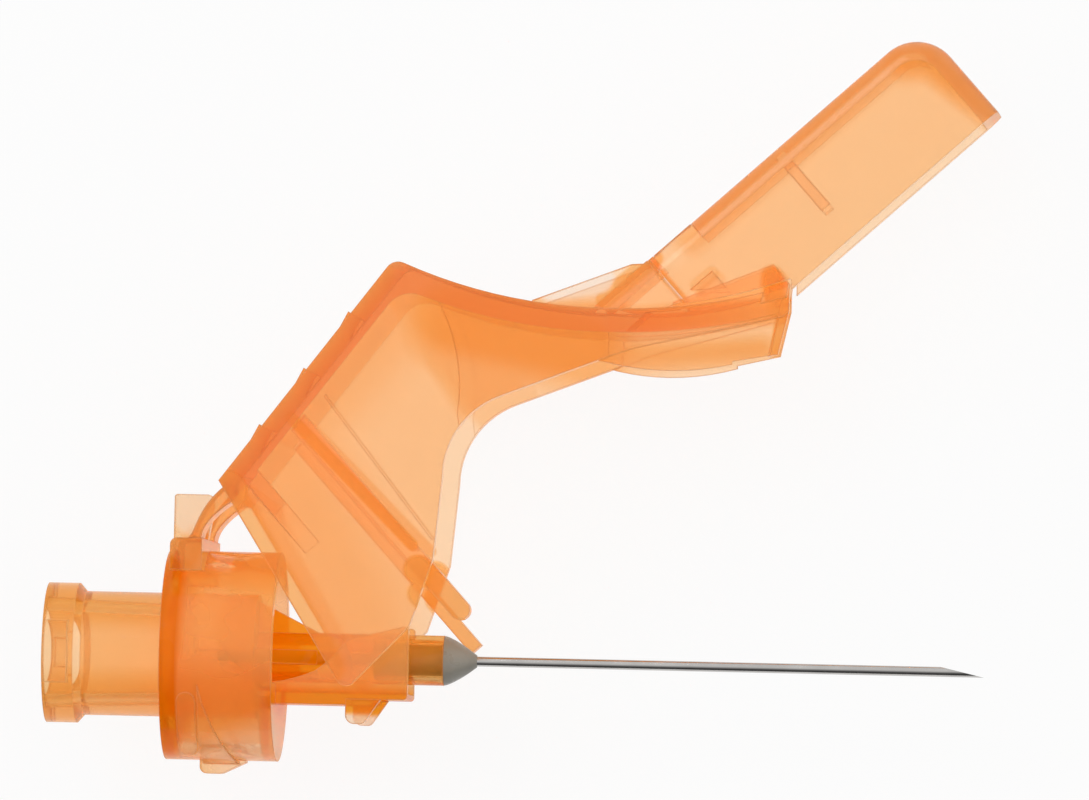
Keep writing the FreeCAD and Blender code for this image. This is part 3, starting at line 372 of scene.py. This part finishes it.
# Finishes
SHIELD = clear_plastic("shield_plastic", wall=(1.0, 0.835, 0.635), depth=(0.004, 0.095, 0.185),
                       milk=(1.0, 0.76, 0.46), haze=0.13,
                       deep_wall=(0.98, 0.67, 0.34), deep_milk=(1.0, 0.56, 0.15),
                       dense=SHIELD_DENSE, thin=SHIELD_THIN)
COLLAR = clear_plastic("collar_plastic", wall=(1.0, 0.80, 0.55), depth=(0.01, 0.09, 0.18),
                       milk=(0.99, 0.70, 0.27), haze=0.30,
                       deep_wall=(0.95, 0.50, 0.02), deep_milk=(0.92, 0.36, 0.0),
                       dense=COLLAR_DENSE, thin=COLLAR_THIN)
HUB = clear_plastic("hub_plastic", wall=(1.0, 0.84, 0.62), depth=(0.008, 0.10, 0.22),
                    milk=(0.98, 0.66, 0.28), haze=0.18,
                    deep_wall=(0.95, 0.57, 0.06), deep_milk=(0.93, 0.46, 0.0), dense=HUB_DENSE)
BEAD = adhesive()


def dress(material, *nodes):
    """Gives CAD nodes their finish."""
    for node in nodes:
        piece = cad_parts[node]
        piece.data.materials.clear()
        piece.data.materials.append(material)


dress(SHIELD, "proximal_segment", "distal_segment", "segment_hinge", "strap_near", "strap_far")
dress(COLLAR, "hub_collar")
dress(HUB, "luer_hub")
dress(steel(), "cannula")
dress(BEAD, "adhesive_bead")


def curve(points, count):
    """count places along a smooth curve through control points given in the XY plane."""
    places = []
    for step in range(count):
        level = [Vector(point) for point in points]
        share = step / (count - 1)
        while len(level) > 1:
            level = [first.lerp(second, share) for first, second in zip(level, level[1:])]
        places.append(level[0])
    return places


def finished(name, shape, material):
    """Turns a drawn shape into a smooth piece with its finish."""
    bmesh.ops.recalc_face_normals(shape, faces=shape.faces)
    mesh = bpy.data.meshes.new(name)
    shape.to_mesh(mesh)
    shape.free()
    for face in mesh.polygons:
        face.use_smooth = True
    mesh.set_sharp_from_angle(angle=SHARP_ANGLE)
    mesh.materials.append(material)
    piece = bpy.data.objects.new(name, mesh)
    bpy.context.collection.objects.link(piece)
    return piece


def band(name, front, rear, low_z, high_z):
    """A closed strip between two lines of places, from low_z to high_z, with softened edges."""
    shape = bmesh.new()
    rings = []
    for ahead, behind in zip(front, rear):
        rings.append([shape.verts.new((spot.x, spot.y, z)) for spot, z in (
            (ahead, low_z), (ahead, high_z), (behind, high_z), (behind, low_z))])
    for ring, after in zip(rings, rings[1:]):
        for side in range(4):
            other = (side + 1) % 4
            shape.faces.new((ring[side], ring[other], after[other], after[side]))
    shape.faces.new(reversed(rings[0]))
    shape.faces.new(rings[-1])
    bmesh.ops.recalc_face_normals(shape, faces=shape.faces)
    long_edges = [edge for edge in shape.edges if edge.calc_face_angle() > LONG_EDGE_ANGLE]
    bmesh.ops.bevel(shape, geom=long_edges, offset=EDGE_RADIUS, segments=EDGE_SEGMENTS, affect="EDGES")
    return finished(name, shape, SHIELD)


def straps():
    """The two straps of the shield's hinge: they flare on the ledge, thin, and thicken towards the pad."""
    front = [spot * MM for spot in curve(STRAP_FRONT, STRAP_STEPS)]
    rear = [spot * MM for spot in curve(STRAP_REAR, STRAP_STEPS)]
    for node in ("strap_near", "strap_far"):
        low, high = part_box(node)
        piece = band("living_" + node, front, rear, low[2], high[2])
        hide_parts(node)
        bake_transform(piece)


def nose_bead():
    """The adhesive: a plug in the nose and, before it, a rounded shoulder that runs out along the tube."""
    outline = [(BEAD_REAR, BEAD_BORE), (BEAD_REAR, BEAD_PLUG), (BEAD_START, BEAD_PLUG)]
    for step in range(BEAD_STEPS):
        share = step / (BEAD_STEPS - 1)
        outline.append((BEAD_START + (BEAD_END - BEAD_START) * share,
                        BEAD_TIP + (BEAD_SHOULDER - BEAD_TIP) * (1 - share ** BEAD_BULGE)))
    outline.append((BEAD_END, BEAD_BORE))
    shape = bmesh.new()
    rings = [[shape.verts.new(Vector((along, radius * math.cos(turn), radius * math.sin(turn))) * MM)
              for turn in (math.tau * side / BEAD_SIDES for side in range(BEAD_SIDES))] for along, radius in outline]
    for ring, after in zip(rings, rings[1:] + rings[:1]):
        for side in range(BEAD_SIDES):
            other = (side + 1) % BEAD_SIDES
            shape.faces.new((ring[side], ring[other], after[other], after[side]))
    piece = finished("nose_bead", shape, BEAD)
    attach(piece, "hub")
    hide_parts("adhesive_bead")


def hinge_strip():
    """The planar hinge between the segments, thinned by a groove along its middle."""
    along = Vector((math.cos(STRIP_ANGLE), math.sin(STRIP_ANGLE), 0))
    down = Vector((along.y, -along.x, 0))
    top, under = [], []
    for step in range(STRAP_STEPS):
        share = step / (STRAP_STEPS - 1)
        spot = STRIP_ORIGIN + along * (STRIP_START + (STRIP_END - STRIP_START) * share)
        groove = STRIP_GROOVE * math.sin(math.pi * share) ** 4
        top.append(spot * MM)
        under.append((spot + down * (STRIP_THICKNESS - groove)) * MM)
    low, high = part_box("segment_hinge")
    piece = band("living_segment_hinge", top, under, low[2], high[2])
    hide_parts("segment_hinge")
    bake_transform(piece)


nose_bead()
straps()
hinge_strip()


def floor():
    """Plain pale floor under the part, which keeps its soft shadow."""
    level = cad_bounds[0][2] - FLOOR_DROP
    corners = ((-1, -1), (1, -1), (1, 1), (-1, 1))
    mesh = bpy.data.meshes.new("floor")
    mesh.from_pydata([(x * FLOOR_HALF, y * FLOOR_HALF, level) for x, y in corners], [], [(0, 1, 2, 3)])
    made = bpy.data.objects.new("floor", mesh)
    bpy.context.collection.objects.link(made)
    s = Shader("floor")
    glow = s.node("Emission")
    glow.inputs["Strength"].default_value = 1.0
    ray = s.node("LightPath").outputs
    seen = s.work("MAXIMUM", ray["Is Camera Ray"], ray["Is Glossy Ray"])
    seen = s.work("MAXIMUM", seen, ray["Is Transmission Ray"])
    share = s.work("MULTIPLY", seen, FLOOR_GLOW)
    s.join(s.blend(share, s.matt("BsdfDiffuse", FLOOR_TINT), glow.outputs[0]), s.output.inputs["Surface"])
    mesh.materials.append(s.material)


def lamp(name, place, size, power):
    """A square area light that points at the part."""
    data = bpy.data.lights.new(name, "AREA")
    data.size = size
    data.energy = power
    made = bpy.data.objects.new(name, data)
    made.location = place
    made.rotation_euler = (AIM - Vector(place)).to_track_quat("-Z", "Y").to_euler()
    bpy.context.collection.objects.link(made)


def studio():
    """White surroundings that darken towards the low side of the picture, and a soft key from above left."""
    world = bpy.data.worlds.new("studio")
    bpy.context.scene.world = world
    world.use_nodes = True
    nodes, links = world.node_tree.nodes, world.node_tree.links
    place = nodes.new("ShaderNodeTexCoord")
    split = nodes.new("ShaderNodeSeparateXYZ")
    links.new(place.outputs["Generated"], split.inputs[0])
    fall = nodes.new("ShaderNodeMapRange")
    links.new(split.outputs["Y"], fall.inputs["Value"])
    for end, (place_y, brightness) in (("Min", SKY_LOW), ("Max", SKY_HIGH)):
        fall.inputs["From " + end].default_value = place_y
        fall.inputs["To " + end].default_value = brightness
    links.new(fall.outputs["Result"], nodes["Background"].inputs["Color"])
    nodes["Background"].inputs["Strength"].default_value = SKY_STRENGTH
    for settings in LAMPS:
        lamp(*settings)


def camera():
    """Looks down on the part from the photograph's angle."""
    data = bpy.data.cameras.new("camera")
    data.sensor_width = SENSOR
    width = IMAGE_WIDTH / PIXELS_PER_MM * MM
    data.lens = SENSOR * CAMERA_DISTANCE / width
    data.sensor_fit = "HORIZONTAL"
    data.clip_start, data.clip_end = CAMERA_REACH
    made = bpy.data.objects.new("camera", data)
    bpy.context.collection.objects.link(made)
    right = Vector((math.cos(TILT), math.sin(TILT), 0))
    right = (right - TOWARDS_CAMERA * right.dot(TOWARDS_CAMERA)).normalized()
    up = TOWARDS_CAMERA.cross(right)
    made.location = AIM + TOWARDS_CAMERA * CAMERA_DISTANCE
    made.rotation_euler = Matrix((right, up, TOWARDS_CAMERA)).transposed().to_euler()
    bpy.context.scene.camera = made


floor()
studio()
camera()

scene = bpy.context.scene
scene.view_settings.view_transform = "Standard"
scene.cycles.max_bounces = BOUNCES
scene.cycles.transmission_bounces = BOUNCES
scene.cycles.transparent_max_bounces = TRANSPARENT_BOUNCES
